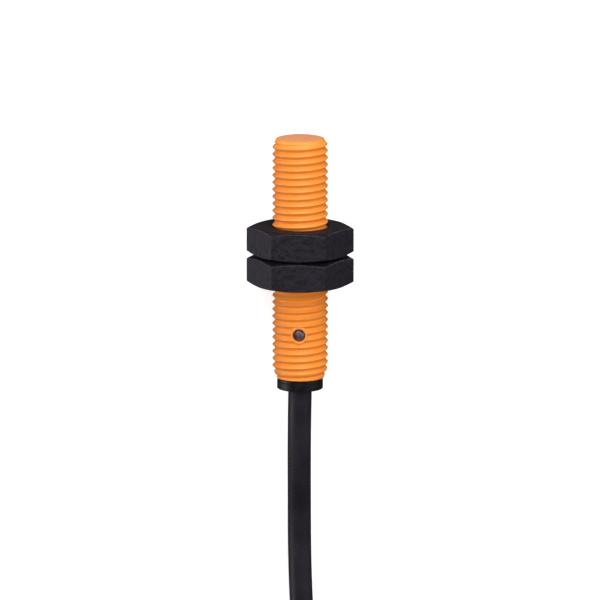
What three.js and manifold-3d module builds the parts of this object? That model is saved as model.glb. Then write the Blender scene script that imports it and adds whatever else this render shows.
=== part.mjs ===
// Threaded M8 photoelectric sensor with two lock nuts and a tied cable, in millimetres.
// The sensor lies on the flats of its nuts. +Y is the way the sensing face looks, +Z is up,
// and the origin is on the floor under the middle of the sensor.

import * as THREE from 'three';
import { mergeVertices } from 'three/addons/utils/BufferGeometryUtils.js';
import Module from 'manifold-3d';

const wasm = await Module();
wasm.setup();

// ---------------------------------------------------------------- driving dimensions

// Housing
const bodyLength = 33.9;
const threadMajorRadius = 3.9;
const threadPitch = 1;
const threadDepth = 0.5;
const threadStart = 0.35; // from the sensing face to the foot of the first thread
const threadLeadIn = 0.5; // length over which the first thread reaches full height
const rearTaper = 1.6; // length of the taper behind the last full thread
const rearTaperDrop = 0.72; // how far the taper comes down from the crests
const faceEdge = 0.2; // bevel round the sensing face
const wall = 0.65; // between the thread's root and the bore

// Clearances
const slipFit = 0.05; // between pieces that are pressed or glued together
const runningFit = 0.1; // between a nut and the thread it travels on
const faceGap = 0.3; // between faces that meet
const toolReach = 1; // how far a cutting shape stands out past what it cuts

// Front window and optics
const windowThickness = 1;
const windowLip = 0.3; // plastic left round the window
const windowLedge = 0.25; // shoulder that the window is glued to
const lensThickness = 0.7;
const lensCrown = 0.3;
const lensShares = [0.35, 0.7, 1]; // places along a lens's radius where its crown is drawn
const opticLength = 3.6;
const opticWeb = 0.5; // plastic between and beside the two light channels
const chipCanLength = 1.1; // emitter and receiver cans at the back of their channels

// Circuit board and what it carries
const boardThickness = 0.6;
const boardTop = -0.5; // height of the board's upper face over the axis
const boardEdgeGap = 0.35; // between the board's long edges and the bore
const boardRearSpace = 5.3; // from the board's end to the rear end of the housing
const chipSize = [2.2, 3.2, 0.8];
const transistorSize = [1.3, 2, 0.9];
const capacitorSize = [1, 1.8, 0.8];
const resistorSize = [0.8, 1.5, 0.45];
const indicatorLedSize = [0.9, 1.5, 0.6];
const solderGap = 0.05;
const componentGap = 0.6; // between one component and the next

// Indicator window
const indicatorFromRear = 6.6;
const indicatorRadius = 0.85;
const indicatorPadRadius = 1.2; // smooth ring round the indicator, where the thread stops
const indicatorPadDrop = 0.06; // ring's height below the crests
const indicatorRecess = 0.15; // window's height below the ring
const lightGap = 0.4; // between the window's foot and the diode under it

// Rear gland and potting
const glandFlangeOverhang = 0.09; // flange's rim outside the housing's rear end and its own step
const glandStepLength = 0.5;
const glandFlangeLength = 1.55; // with its step
const glandFlangeBevel = 0.22;
const glandFlatDepth = 0.09; // of the flat on the flange's +X side
const glandCollarWall = 0.35; // of the collar round the cable
const glandCollarLength = 0.2;
const glandSpigotLength = 1.9;
const sealSection = 0.35; // radius of the seal ring's section
const sealGrooveSlack = 0.1;
const sealSteps = 12; // points round the seal ring's section
const pottingLength = 2.2;
const coreRadius = 0.5;
const coreSpacing = 0.72; // from the cable's axis to each core's axis

// Nuts
const nutAcrossFlats = 13;
const nutThickness = 4;
const nutFrontFaceAt = 12.4; // from the sensing face to the front nut's front face
const nutSpacing = 0.3; // between the two nuts at rest
const nutCornerDrop = 0.4; // how far the chamfer has come down at a corner
const nutChamferTilt = THREE.MathUtils.degToRad(16);
const nutBoreChamfer = 0.2;

// Cable
const cableRadius = 1.65;
const floorClearance = 0.05;

// Hank of stored cable: turns laid side by side in lanes and on each other in layers
const hankFrontY = -75; // where the runs start, measured in the part's frame
const hankRun = 65;
const hankFoldRadius = 9.9; // of the innermost fold's centreline
const hankWaistGap = 0.15; // half the gap between the two innermost runs under the tie
const hankLanes = 2;
const hankLaneGap = 0.25; // between turns side by side
const hankLayers = 5;
const hankLayerGap = 0.05; // between turns on each other
const hankSkin = 0.1; // solid's allowance round the turns

// Tie round the hank's waist, with its twisted tails on top
const tieWidth = 4;
const tieThickness = 0.6;
const tieCorner = 0.7;
const tieTwistRadius = 1;
const tieTwistLength = 13;

// Free end of the cable: three stripped cores in the topmost, innermost run
const jacketEndShare = 0.45; // place of the sheath's end, from the tie (0) to the fold (1)
const endCoreLength = 18;
const endCoreFan = 1.3; // sideways spacing of the cores at their tips
const endCoreDrift = 4; // how far the tips lie outwards of the sheath's end
const ferruleRadius = 0.38;
const ferruleLength = 5;
const ferruleGap = 0.1;

// Roundness of the model
const roundSides = 48;
const smallSides = 24;
const wireSides = 12;
const threadSides = 24;
const threadSamples = 4; // points along one pitch of the thread's profile

// ---------------------------------------------------------------- derived dimensions

const axisHeight = nutAcrossFlats / 2;
const rootRadius = threadMajorRadius - threadDepth;
const boreRadius = rootRadius - wall;
const sensorLength = bodyLength + slipFit + glandFlangeLength + glandCollarLength;
const faceY = sensorLength / 2;
const cordStartY = -faceY - faceGap;
const fromFace = (distance) => faceY - distance;

// ---------------------------------------------------------------- helpers

const group = new THREE.Group();
const sensor = new THREE.Group(); // everything whose frame is the sensor's own axis
sensor.position.z = axisHeight;
group.add(sensor);

const finish = (color, roughness, metalness = 0) => ({ color, roughness, metalness });
const orangePlastic = finish(0xf08a2c, 0.5);
const blackPlastic = finish(0x26232a, 0.6);
const blackSheath = finish(0x201e24, 0.55);
const goldTin = finish(0xb8b4ac, 0.35, 1);

function addPiece(parent, name, geometry, look) {
  const piece = new THREE.Mesh(geometry, new THREE.MeshStandardMaterial(look));
  piece.name = name;
  parent.add(piece);
}

function toSolid(geometry) {
  const bare = geometry.clone();
  bare.deleteAttribute('normal');
  bare.deleteAttribute('uv');
  const merged = mergeVertices(bare, 1e-5);
  return new wasm.Manifold(new wasm.Mesh({
    numProp: 3,
    vertProperties: new Float32Array(merged.attributes.position.array),
    triVerts: new Uint32Array(merged.index.array),
  }));
}

function toGeometry(solid) {
  const mesh = solid.getMesh();
  const geometry = new THREE.BufferGeometry();
  geometry.setAttribute('position', new THREE.BufferAttribute(mesh.vertProperties, 3));
  geometry.setIndex(new THREE.BufferAttribute(mesh.triVerts, 1));
  geometry.computeVertexNormals();
  return geometry;
}

// A solid turned about the sensor's axis. Profile points are [radius, distance behind the
// sensing face], from front to back, and start and end on the axis.
function turned(profile, sides = roundSides) {
  const points = profile.map(([radius, back]) => new THREE.Vector2(radius, fromFace(back)));
  return new THREE.LatheGeometry(points.reverse(), sides);
}

// A ring turned about the sensor's axis, from its closed outline of [radius, distance] pairs.
function turnedRing(outline, sides = roundSides) {
  return turned([...outline, outline[0]], sides);
}

// A plain pin along the sensor's axis direction, centred on x and z.
function pin(radius, front, back, x = 0, z = 0, sides = smallSides) {
  const geometry = turned([[0, front], [radius, front], [radius, back], [0, back]], sides);
  return geometry.translate(x, 0, z);
}

// A plain pin that points up from the sensor's axis.
function uprightPin(radius, bottom, top, back, sides = smallSides) {
  const geometry = new THREE.CylinderGeometry(radius, radius, top - bottom, sides);
  geometry.rotateX(Math.PI / 2);
  return geometry.translate(0, fromFace(back), (bottom + top) / 2);
}

// A block of [x, y, z] size whose front edge is at a distance behind the face.
function block([width, length, height], front, x, bottom) {
  const geometry = new THREE.BoxGeometry(width, length, height);
  return geometry.translate(x, fromFace(front + length / 2), bottom + height / 2);
}

function tube(points, radius, sides, steps) {
  const ring = new THREE.Shape();
  for (let i = 0; i < sides; i += 1) {
    const angle = (2 * Math.PI * (i + 0.5)) / sides;
    const place = [radius * Math.cos(angle), radius * Math.sin(angle)];
    if (i === 0) ring.moveTo(...place);
    else ring.lineTo(...place);
  }
  ring.closePath();
  const extrudePath = new THREE.CatmullRomCurve3(points.map((p) => new THREE.Vector3(...p)));
  return new THREE.ExtrudeGeometry(ring, { steps, extrudePath, curveSegments: 1 });
}

// ---------------------------------------------------------------- threads

// A right-hand threaded rod along Y as one closed surface. Rows run round the axis and columns
// along it, and the last row meets the first one pitch further on. Each crest passes the top
// of the rod at a whole number of pitches behind the sensing face.
function threadedRod(front, back) {
  const pitches = Math.ceil((back - front) / threadPitch) + 2;
  const columns = pitches * threadSamples;
  const lowest = fromFace(Math.ceil(back / threadPitch + 1) * threadPitch);
  const positions = [];
  for (let row = 0; row < threadSides; row += 1) {
    const turn = row / threadSides;
    const angle = 2 * Math.PI * turn;
    for (let column = 0; column <= columns + threadSamples; column += 1) {
      const phase = (column % threadSamples) / threadSamples;
      const radius = threadMajorRadius - threadDepth * (1 - Math.abs(1 - 2 * phase));
      const y = lowest + threadPitch * (column / threadSamples + turn);
      positions.push(radius * Math.sin(angle), y, radius * Math.cos(angle));
    }
  }
  const perRow = columns + threadSamples + 1;
  const lowEnd = positions.length / 3;
  positions.push(0, lowest + threadPitch / 2, 0);
  positions.push(0, lowest + threadPitch * (pitches + 0.5), 0);
  const highEnd = lowEnd + 1;
  const at = (row, column) => (row < threadSides
    ? row * perRow + column
    : column + threadSamples);
  const faces = [];
  for (let row = 0; row < threadSides; row += 1) {
    for (let column = 0; column < columns; column += 1) {
      const corners = [at(row, column), at(row, column + 1), at(row + 1, column + 1), at(row + 1, column)];
      faces.push(corners[0], corners[2], corners[1], corners[0], corners[3], corners[2]);
    }
    faces.push(lowEnd, at(row + 1, 0), at(row, 0));
    faces.push(highEnd, at(row, columns), at(row + 1, columns));
  }
  for (let column = 0; column < threadSamples; column += 1) {
    faces.push(lowEnd, at(0, column), at(0, column + 1));
    faces.push(highEnd, at(0, columns + column + 1), at(0, columns + column));
  }
  const geometry = new THREE.BufferGeometry();
  geometry.setAttribute('position', new THREE.Float32BufferAttribute(positions, 3));
  geometry.setIndex(faces);
  return geometry;
}

// ---------------------------------------------------------------- housing

const windowRadius = rootRadius - windowLip;
const windowSeatDepth = windowThickness + slipFit;
const ledgeRadius = windowRadius - windowLedge - slipFit;
const rearRadius = threadMajorRadius - rearTaperDrop;
const taperStart = bodyLength - rearTaper;
const indicatorAt = bodyLength - indicatorFromRear;
const padTop = threadMajorRadius - indicatorPadDrop;

function housing() {
  const core = toSolid(turned([
    [0, 0],
    [rootRadius - faceEdge, 0],
    [rootRadius, faceEdge],
    [rootRadius, bodyLength - (rootRadius - rearRadius)],
    [rearRadius, bodyLength],
    [0, bodyLength],
  ], threadSides));
  const threadLimits = toSolid(turned([
    [0, threadStart],
    [rootRadius, threadStart],
    [threadMajorRadius, threadStart + threadLeadIn],
    [threadMajorRadius + slipFit, threadStart + threadLeadIn],
    [threadMajorRadius + slipFit, taperStart],
    [threadMajorRadius, taperStart],
    [rearRadius, bodyLength],
    [0, bodyLength],
  ]));
  const padLimits = toSolid(turned([
    [0, indicatorAt - 2 * indicatorPadRadius],
    [padTop, indicatorAt - 2 * indicatorPadRadius],
    [padTop, indicatorAt + 2 * indicatorPadRadius],
    [0, indicatorAt + 2 * indicatorPadRadius],
  ]));
  const pad = toSolid(uprightPin(indicatorPadRadius, boreRadius / 2, threadMajorRadius, indicatorAt));
  const bore = toSolid(turned([
    [0, -slipFit],
    [windowRadius + slipFit, -slipFit],
    [windowRadius + slipFit, windowSeatDepth],
    [ledgeRadius, windowSeatDepth],
    [ledgeRadius, windowSeatDepth + windowLedge],
    [boreRadius, windowSeatDepth + windowLedge],
    [boreRadius, bodyLength + slipFit],
    [0, bodyLength + slipFit],
  ]));
  const indicatorHole = toSolid(uprightPin(
    indicatorRadius + slipFit, boreRadius / 2, threadMajorRadius + slipFit, indicatorAt));
  const thread = toSolid(threadedRod(threadStart, bodyLength)).intersect(threadLimits);
  return toGeometry(core.add(thread).add(pad.intersect(padLimits)).subtract(bore).subtract(indicatorHole));
}

addPiece(sensor, 'housing', housing(), orangePlastic);

// ---------------------------------------------------------------- window and optics

const opticFront = windowSeatDepth + windowLedge + lensCrown + slipFit;
const opticBack = opticFront + lensThickness + opticLength;
const opticRadius = boreRadius - slipFit;
const channelRadius = (2 * opticRadius - 3 * opticWeb) / 4;
const channelOffset = channelRadius + opticWeb / 2;
const lensRadius = channelRadius - slipFit;

function opticHolder() {
  const body = toSolid(pin(opticRadius, opticFront, opticBack, 0, 0, roundSides));
  const channel = (side) => toSolid(
    pin(channelRadius, opticFront - toolReach, opticBack + toolReach, side * channelOffset));
  return toGeometry(body.subtract(channel(-1)).subtract(channel(1)));
}

// A plano-convex lens, crown forwards.
function lens(side) {
  const rim = opticFront + lensCrown;
  const profile = [[0, opticFront]];
  for (const share of lensShares) {
    profile.push([lensRadius * share, opticFront + lensCrown * share ** 2]);
  }
  profile.push([lensRadius, rim + lensThickness], [0, rim + lensThickness]);
  return turned(profile, smallSides).translate(side * channelOffset, 0, 0);
}

function can(side) {
  return pin(lensRadius, opticBack - chipCanLength, opticBack, side * channelOffset);
}

addPiece(sensor, 'front_window', pin(windowRadius, 0, windowThickness, 0, 0, roundSides),
  finish(0xe49a72, 0.45));
addPiece(sensor, 'optic_holder', opticHolder(), finish(0x1c1b1f, 0.8));
addPiece(sensor, 'emitter_lens', lens(-1), finish(0xdfe6ea, 0.1));
addPiece(sensor, 'receiver_lens', lens(1), finish(0xdfe6ea, 0.1));
addPiece(sensor, 'emitter_diode', can(-1), finish(0xa8261c, 0.3));
addPiece(sensor, 'receiver_diode', can(1), finish(0x2c2f3a, 0.3));

// ---------------------------------------------------------------- circuit board

const boardFront = opticBack + faceGap;
const boardLength = bodyLength - boardRearSpace - boardFront;
const boardBottom = boardTop - boardThickness;
const boardWidth = 2 * (Math.sqrt(boreRadius ** 2 - boardBottom ** 2) - boardEdgeGap);
const partBottom = boardTop + solderGap;

addPiece(sensor, 'circuit_board',
  block([boardWidth, boardLength, boardThickness], boardFront, 0, boardBottom), finish(0x1f6b3c, 0.5));

// Components in a row along the board, one behind the other.
const components = [
  ['signal_chip', chipSize, finish(0x18181a, 0.6)],
  ['output_transistor', transistorSize, finish(0x1d1d20, 0.6)],
  ['supply_capacitor', capacitorSize, finish(0xb08a5a, 0.5)],
  ['led_resistor', resistorSize, finish(0x24262b, 0.5)],
];
let nextFront = boardFront + componentGap;
for (const [name, size, look] of components) {
  addPiece(sensor, name, block(size, nextFront, 0, partBottom), look);
  nextFront += size[1] + componentGap;
}

addPiece(sensor, 'indicator_led',
  block(indicatorLedSize, indicatorAt - indicatorLedSize[1] / 2, 0, partBottom), finish(0xe8e2c8, 0.4));

const indicatorFoot = partBottom + indicatorLedSize[2] + lightGap;
addPiece(sensor, 'indicator_window',
  uprightPin(indicatorRadius, indicatorFoot, padTop - indicatorRecess, indicatorAt),
  finish(0x3b3238, 0.1));

// ---------------------------------------------------------------- gland, seal, potting, inner cores

const spigotRadius = boreRadius - slipFit;
const spigotFront = bodyLength - glandSpigotLength;
const flangeFront = bodyLength + slipFit;
const stepBack = flangeFront + glandStepLength;
const flangeBack = flangeFront + glandFlangeLength;
const sealMiddle = spigotFront + glandSpigotLength / 2;
const sealRadius = spigotRadius - sealSection;
const grooveHalf = sealSection + sealGrooveSlack;
const grooveRadius = sealRadius - sealSection - sealGrooveSlack;
const cableHoleRadius = cableRadius + runningFit;
const glandStepRadius = rearRadius;
const glandFlangeRadius = glandStepRadius + glandFlangeOverhang;
const glandCollarRadius = cableHoleRadius + glandCollarWall;

function rearGland() {
  const coreHoleBack = flangeFront + glandStepLength;
  const outline = toSolid(turned([
    [0, spigotFront],
    [spigotRadius, spigotFront],
    [spigotRadius, sealMiddle - grooveHalf],
    [grooveRadius, sealMiddle - grooveHalf],
    [grooveRadius, sealMiddle + grooveHalf],
    [spigotRadius, sealMiddle + grooveHalf],
    [spigotRadius, flangeFront],
    [glandStepRadius, flangeFront],
    [glandStepRadius, stepBack],
    [glandFlangeRadius, stepBack],
    [glandFlangeRadius, flangeBack - glandFlangeBevel],
    [glandFlangeRadius - glandFlangeBevel, flangeBack],
    [glandCollarRadius, flangeBack],
    [glandCollarRadius, flangeBack + glandCollarLength],
    [0, flangeBack + glandCollarLength],
  ]));
  const cableHole = toSolid(pin(cableHoleRadius, coreHoleBack, sensorLength + toolReach));
  const sideCut = new THREE.BoxGeometry(toolReach, sensorLength, 2 * glandFlangeRadius);
  sideCut.translate(glandFlangeRadius - glandFlatDepth + toolReach / 2, fromFace(sensorLength), 0);
  const body = outline.subtract(cableHole).subtract(toSolid(sideCut));
  return toGeometry(coreHoles(spigotFront - toolReach, coreHoleBack + slipFit)
    .reduce((solid, hole) => solid.subtract(hole), body));
}

// The three cores lie side by side in a triangle round the cable's axis.
const coreNames = ['brown', 'blue', 'black'];
const coreLooks = [finish(0x5d3a22, 0.5), finish(0x1f4f9c, 0.5), finish(0x17171a, 0.5)];
const coreAngles = [210, 330, 90].map(THREE.MathUtils.degToRad);
const corePlace = (i) => [coreSpacing * Math.cos(coreAngles[i]), coreSpacing * Math.sin(coreAngles[i])];

function coreHoles(front, back) {
  return coreNames.map((_, i) => toSolid(
    pin(coreRadius + runningFit, front, back, ...corePlace(i), smallSides)));
}

function sealRing() {
  const outline = [];
  for (let i = 0; i < sealSteps; i += 1) {
    const angle = (2 * Math.PI * i) / sealSteps;
    outline.push([sealRadius + sealSection * Math.cos(angle), sealMiddle + sealSection * Math.sin(angle)]);
  }
  return turnedRing(outline, smallSides);
}

const pottingBack = spigotFront - faceGap;
const pottingFront = pottingBack - pottingLength;

function pottingPlug() {
  const plug = toSolid(pin(spigotRadius, pottingFront, pottingBack, 0, 0, roundSides));
  return toGeometry(coreHoles(pottingFront - toolReach, pottingBack + toolReach)
    .reduce((solid, hole) => solid.subtract(hole), plug));
}

addPiece(sensor, 'rear_gland', rearGland(), blackPlastic);
addPiece(sensor, 'gland_seal', sealRing(), finish(0x2a2a2e, 0.8));
addPiece(sensor, 'potting_plug', pottingPlug(), finish(0x3a3530, 0.4));

coreNames.forEach((name, i) => {
  const back = flangeFront;
  const front = pottingFront - faceGap;
  const [x, z] = corePlace(i);
  addPiece(sensor, `core_${name}`, pin(coreRadius, front, back, x, z, wireSides), coreLooks[i]);
});

// ---------------------------------------------------------------- nuts

// A hexagon nut whose flats face up and down, chamfered on both faces.
function nut(front) {
  const cornerRadius = nutAcrossFlats / Math.sqrt(3);
  const hexagon = new THREE.Shape();
  for (let i = 0; i < 6; i += 1) {
    const angle = (Math.PI * i) / 3;
    const corner = [cornerRadius * Math.cos(angle), cornerRadius * Math.sin(angle)];
    if (i === 0) hexagon.moveTo(...corner);
    else hexagon.lineTo(...corner);
  }
  hexagon.closePath();
  const prism = new THREE.ExtrudeGeometry(hexagon, { depth: nutThickness, bevelEnabled: false });
  prism.rotateX(Math.PI / 2);
  prism.translate(0, fromFace(front), 0);
  const back = front + nutThickness;
  const flatRadius = cornerRadius - nutCornerDrop / Math.tan(nutChamferTilt);
  const outside = cornerRadius + slipFit;
  const dropOutside = (outside - flatRadius) * Math.tan(nutChamferTilt);
  const chamfers = toSolid(turned([
    [0, front],
    [flatRadius, front],
    [outside, front + dropOutside],
    [outside, back - dropOutside],
    [flatRadius, back],
    [0, back],
  ]));
  const boreWall = threadMajorRadius + runningFit;
  const bore = toSolid(turned([
    [0, front - toolReach],
    [boreWall + nutBoreChamfer + toolReach, front - toolReach],
    [boreWall, front + nutBoreChamfer],
    [boreWall, back - nutBoreChamfer],
    [boreWall + nutBoreChamfer + toolReach, back + toolReach],
    [0, back + toolReach],
  ]));
  return toGeometry(toSolid(prism).intersect(chamfers).subtract(bore));
}

addPiece(sensor, 'front_nut', nut(nutFrontFaceAt), blackPlastic);
addPiece(sensor, 'rear_nut', nut(nutFrontFaceAt + nutThickness + nutSpacing), blackPlastic);

// ---------------------------------------------------------------- cable

const restHeight = cableRadius + floorClearance;

// The stretch from the gland down to the floor, along it, and out to the hank's side.
const leadPoints = [
  [0, cordStartY, axisHeight],
  [0, -21, axisHeight],
  [0, -25, 6.2],
  [0, -30, 4.9],
  [0, -36, 2.8],
  [0, -41, 1.85],
  [0, -46, restHeight],
  [0, -50.8, restHeight],
  [0.8, -55.3, restHeight],
  [2.1, -58, restHeight],
];

addPiece(group, 'cable_lead', tube(leadPoints, cableRadius, 8, 20), blackSheath);

const hankWaist = cableRadius + hankWaistGap;
const hankLanePitch = 2 * cableRadius + hankLaneGap;
const hankLayerPitch = 2 * cableRadius + hankLayerGap;

// Half the width of a lane's turn at a share of the way from the waist (0) to the folds (1).
function laneHalfWidth(lane, share) {
  const ease = share * share * (3 - 2 * share);
  return hankWaist + lane * hankLanePitch + (hankFoldRadius - hankWaist) * ease;
}

const hankMiddleY = hankFrontY - hankRun / 2;
const hankHeight = 2 * floorClearance + 2 * cableRadius + (hankLayers - 1) * hankLayerPitch;
const hankHalfWidth = (share) => laneHalfWidth(hankLanes - 1, share) + cableRadius + hankSkin;
const tieSlot = tieWidth / 2 + faceGap;

// The sheath ends in the top layer, and its cores lie on the layer below.
const notchFloor = hankHeight - hankLayerPitch;
const jacketEnd = new THREE.Vector3(
  laneHalfWidth(0, jacketEndShare),
  hankMiddleY - (jacketEndShare * hankRun) / 2,
  hankHeight - floorClearance - cableRadius,
);

// The outer shape of the whole hank: two round ends joined by sides that draw in at the tie.
function hank() {
  const outline = new THREE.Shape();
  const sideSteps = 8;
  const endRadius = hankHalfWidth(1);
  outline.moveTo(endRadius, -hankRun / 2);
  for (let i = 1; i <= 2 * sideSteps; i += 1) {
    const along = i / sideSteps - 1;
    outline.lineTo(hankHalfWidth(Math.abs(along)), (along * hankRun) / 2);
  }
  outline.absarc(0, hankRun / 2, endRadius, 0, Math.PI, false);
  for (let i = 1; i <= 2 * sideSteps; i += 1) {
    const along = 1 - i / sideSteps;
    outline.lineTo(-hankHalfWidth(Math.abs(along)), (along * hankRun) / 2);
  }
  outline.absarc(0, -hankRun / 2, endRadius, Math.PI, 2 * Math.PI, false);
  const solid = new THREE.ExtrudeGeometry(outline, {
    depth: hankHeight, bevelEnabled: false, curveSegments: 12,
  });
  solid.translate(0, hankMiddleY, 0);
  const slotDepth = tieThickness + faceGap;
  const slot = new THREE.BoxGeometry(4 * endRadius, 2 * tieSlot, 2 * slotDepth);
  slot.translate(0, hankMiddleY, 0);
  const notchWidth = 2 * cableRadius + endCoreDrift + 2 * endCoreFan;
  const notchLength = endCoreLength + ferruleLength + 4 * faceGap;
  const notch = new THREE.BoxGeometry(notchWidth, notchLength, 2 * (hankHeight - notchFloor));
  notch.translate(jacketEnd.x + endCoreDrift / 2, jacketEnd.y - notchLength / 2 + faceGap, hankHeight);
  return toGeometry(toSolid(solid).subtract(toSolid(slot)).subtract(toSolid(notch)));
}

// A flat band round the waist, and its tails twisted together and laid along the top.
function hankTie() {
  const innerHalf = hankHalfWidth(0) + faceGap;
  const innerTop = tieThickness + hankHeight + faceGap; // the tie under the hank lifts its waist
  const inner = roundedFrame(innerHalf, tieThickness, innerTop, tieCorner);
  const outer = roundedFrame(innerHalf + tieThickness, 0, innerTop + tieThickness,
    tieCorner + tieThickness);
  outer.holes.push(inner);
  const band = new THREE.ExtrudeGeometry(outer, {
    depth: tieWidth, bevelEnabled: false, curveSegments: 5,
  });
  band.rotateX(Math.PI / 2);
  band.translate(0, hankMiddleY + tieWidth / 2, 0);
  const twist = new THREE.CylinderGeometry(tieTwistRadius, tieTwistRadius, tieTwistLength, wireSides);
  twist.translate(0, hankMiddleY, innerTop + tieThickness / 2 + tieTwistRadius);
  return toGeometry(toSolid(band).add(toSolid(twist)));
}

// A rectangle with round corners in the plane of a section across the hank.
function roundedFrame(halfWidth, bottom, top, corner) {
  const frame = new THREE.Shape();
  frame.moveTo(halfWidth, bottom + corner);
  frame.absarc(halfWidth - corner, top - corner, corner, 0, Math.PI / 2, false);
  frame.absarc(-halfWidth + corner, top - corner, corner, Math.PI / 2, Math.PI, false);
  frame.absarc(-halfWidth + corner, bottom + corner, corner, Math.PI, 1.5 * Math.PI, false);
  frame.absarc(halfWidth - corner, bottom + corner, corner, 1.5 * Math.PI, 2 * Math.PI, false);
  return frame;
}

addPiece(group, 'cable_hank', hank(), blackSheath);
addPiece(group, 'hank_tie', hankTie(), finish(0x141416, 0.4));

// The cores leave the sheath as a triangle and come to lie side by side.
coreNames.forEach((name, i) => {
  const [x, z] = corePlace(i);
  const side = Math.sign(Math.round(x * 10));
  const lying = notchFloor + faceGap + coreRadius;
  const place = (share, drift, height) => [
    jacketEnd.x + drift, jacketEnd.y - faceGap - share * endCoreLength, height];
  const points = [
    place(0, x, jacketEnd.z + z),
    place(0.3, 0.3 * endCoreDrift + x * 1.2, (jacketEnd.z + z + lying) / 2 + (side === 0 ? 0.5 : 0)),
    place(0.65, 0.65 * endCoreDrift + side * endCoreFan, lying),
    place(1, endCoreDrift + side * endCoreFan, lying),
  ];
  const [nextToLast, last] = points.slice(-2).map((point) => new THREE.Vector3(...point));
  const along = last.clone().sub(nextToLast).normalize();
  const ferruleStart = last.clone().addScaledVector(along, ferruleGap);
  const ferruleEnd = last.clone().addScaledVector(along, ferruleGap + ferruleLength);
  addPiece(group, `end_core_${name}`, tube(points, coreRadius, 8, wireSides), coreLooks[i]);
  addPiece(group, `ferrule_${name}`,
    tube([ferruleStart.toArray(), ferruleEnd.toArray()], ferruleRadius, 8, 1), goldTin);
});

export default group;
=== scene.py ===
"""Looks of a threaded photoelectric sensor with two lock nuts and a tied flying lead."""

import math

import bmesh
import bpy
from bpy.props import FloatProperty, FloatVectorProperty, IntProperty, PointerProperty
from mathutils import Matrix, Vector


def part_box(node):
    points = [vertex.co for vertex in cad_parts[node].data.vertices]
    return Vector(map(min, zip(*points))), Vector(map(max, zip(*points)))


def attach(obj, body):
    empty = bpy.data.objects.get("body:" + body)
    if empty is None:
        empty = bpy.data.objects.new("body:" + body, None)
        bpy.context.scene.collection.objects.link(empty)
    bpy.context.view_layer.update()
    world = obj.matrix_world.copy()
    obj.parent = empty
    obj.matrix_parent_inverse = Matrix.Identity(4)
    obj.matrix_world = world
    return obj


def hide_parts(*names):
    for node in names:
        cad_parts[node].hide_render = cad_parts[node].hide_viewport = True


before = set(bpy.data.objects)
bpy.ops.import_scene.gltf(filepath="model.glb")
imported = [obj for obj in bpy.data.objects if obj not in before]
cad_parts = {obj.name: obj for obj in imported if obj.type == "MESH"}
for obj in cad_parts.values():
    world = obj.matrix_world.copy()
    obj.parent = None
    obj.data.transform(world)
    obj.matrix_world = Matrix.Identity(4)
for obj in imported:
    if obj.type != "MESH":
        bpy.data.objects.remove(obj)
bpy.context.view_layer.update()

bl_info = {
    "name": "Threaded Photoelectric Sensor",
    "version": (1, 0, 0),
    "blender": (4, 5, 0),
    "location": "3D View > Sidebar > Sensor",
    "description": "Builds an M8 threaded photoelectric sensor with lock nuts and a tied flying lead",
    "category": "Add Mesh",
}

MM = 0.001
BARREL_BODY = "barrel_and_cable"
NUT_BODIES = {"front_nut": "front_lock_nut", "rear_nut": "rear_lock_nut"}
# Paler colour painted on the nuts' marked edges as a highlight.
PAINTED_EDGE_HIGHLIGHT = (0.17, 0.16, 0.18)
TIN = (0.62, 0.60, 0.56)
DULL_TIN = (0.45, 0.43, 0.40)

housing_low, housing_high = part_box("housing")
nut_low, nut_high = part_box("front_nut")
gland_low, gland_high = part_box("rear_gland")
window_low, window_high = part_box("front_window")
indicator_low, indicator_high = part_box("indicator_window")

FACE_Y = housing_high.y
AXIS_HEIGHT = (nut_low.z + nut_high.z) / 2
BODY_LENGTH = housing_high.y - housing_low.y
INDICATOR_BACK = FACE_Y - (indicator_low.y + indicator_high.y) / 2
SENSOR_END_Y = gland_low.y
FIT = 0.05 * MM  # gap between pieces that slide into each other
FULL_TURN = 2 * math.pi


# ------------------------------------------------------------------ settings


def size(name, default, description, **limits):
    return FloatProperty(name=name, default=default, description=description,
                         unit="LENGTH", subtype="DISTANCE", precision=5, **limits)


def share(name, default, description, low=0.0, high=1.0):
    return FloatProperty(name=name, default=default, description=description, min=low, max=high)


def colour(name, default, description):
    return FloatVectorProperty(name=name, default=default, description=description,
                               subtype="COLOR", size=3, min=0.0, max=1.0)


class BarrelSettings(bpy.types.PropertyGroup):
    """Sizes and colours of the threaded barrel and its front window."""

    crest_radius: size("Crest Radius", (housing_high.x - housing_low.x) / 2,
                       "Radius over the thread's crests")
    pitch: size("Thread Pitch", 1 * MM, "Distance from crest to crest")
    thread_depth: size("Thread Depth", 0.46 * MM, "Height of a crest over the root")
    root_share: share("Root Share", 0.06, "Share of the way to a crest where the flank begins")
    rounding: share("Rounding", 0.3, "Rounding of crest and root, as a share of the thread's depth", 0.01)
    crest_share: share("Crest Share", 0.93, "Share of the way to a crest where the flank ends")
    thread_start: size("Thread Start", 0.35 * MM, "From the sensing face to the first thread")
    lead_in: size("Lead In", 0.5 * MM, "Length over which the first thread rises")
    rear_taper: size("Rear Taper", 1.5 * MM, "Length of the taper at the cable end")
    root_sink: size("Root Sink", 0.28 * MM, "How far the roots sink along the taper")
    taper_drop: size("Taper Drop", 0.56 * MM, "How far the taper comes down from the crests")
    face_edge: size("Face Edge", 0.28 * MM, "Rounding of the rim round the sensing face")
    wall: size("Wall", 0.69 * MM, "Wall between the thread's root and the bore")
    columns: IntProperty(name="Columns", default=150, min=24, description="Faces round the thread")
    rows: IntProperty(name="Rows", default=560, min=60, description="Faces along the thread")
    # The crest and root colours paint light and shade: the crests darker and the roots lighter, which evens
    # out the shading over each thread turn.
    crest_colour: colour("Crest Colour", (0.79, 0.255, 0.034), "Colour on the thread's crests")
    root_colour: colour("Root Colour", (0.93, 0.300, 0.034), "Colour down in the thread")
    window_colour: colour("Window Colour", (0.92, 0.355, 0.148), "Colour of the front window")


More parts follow.
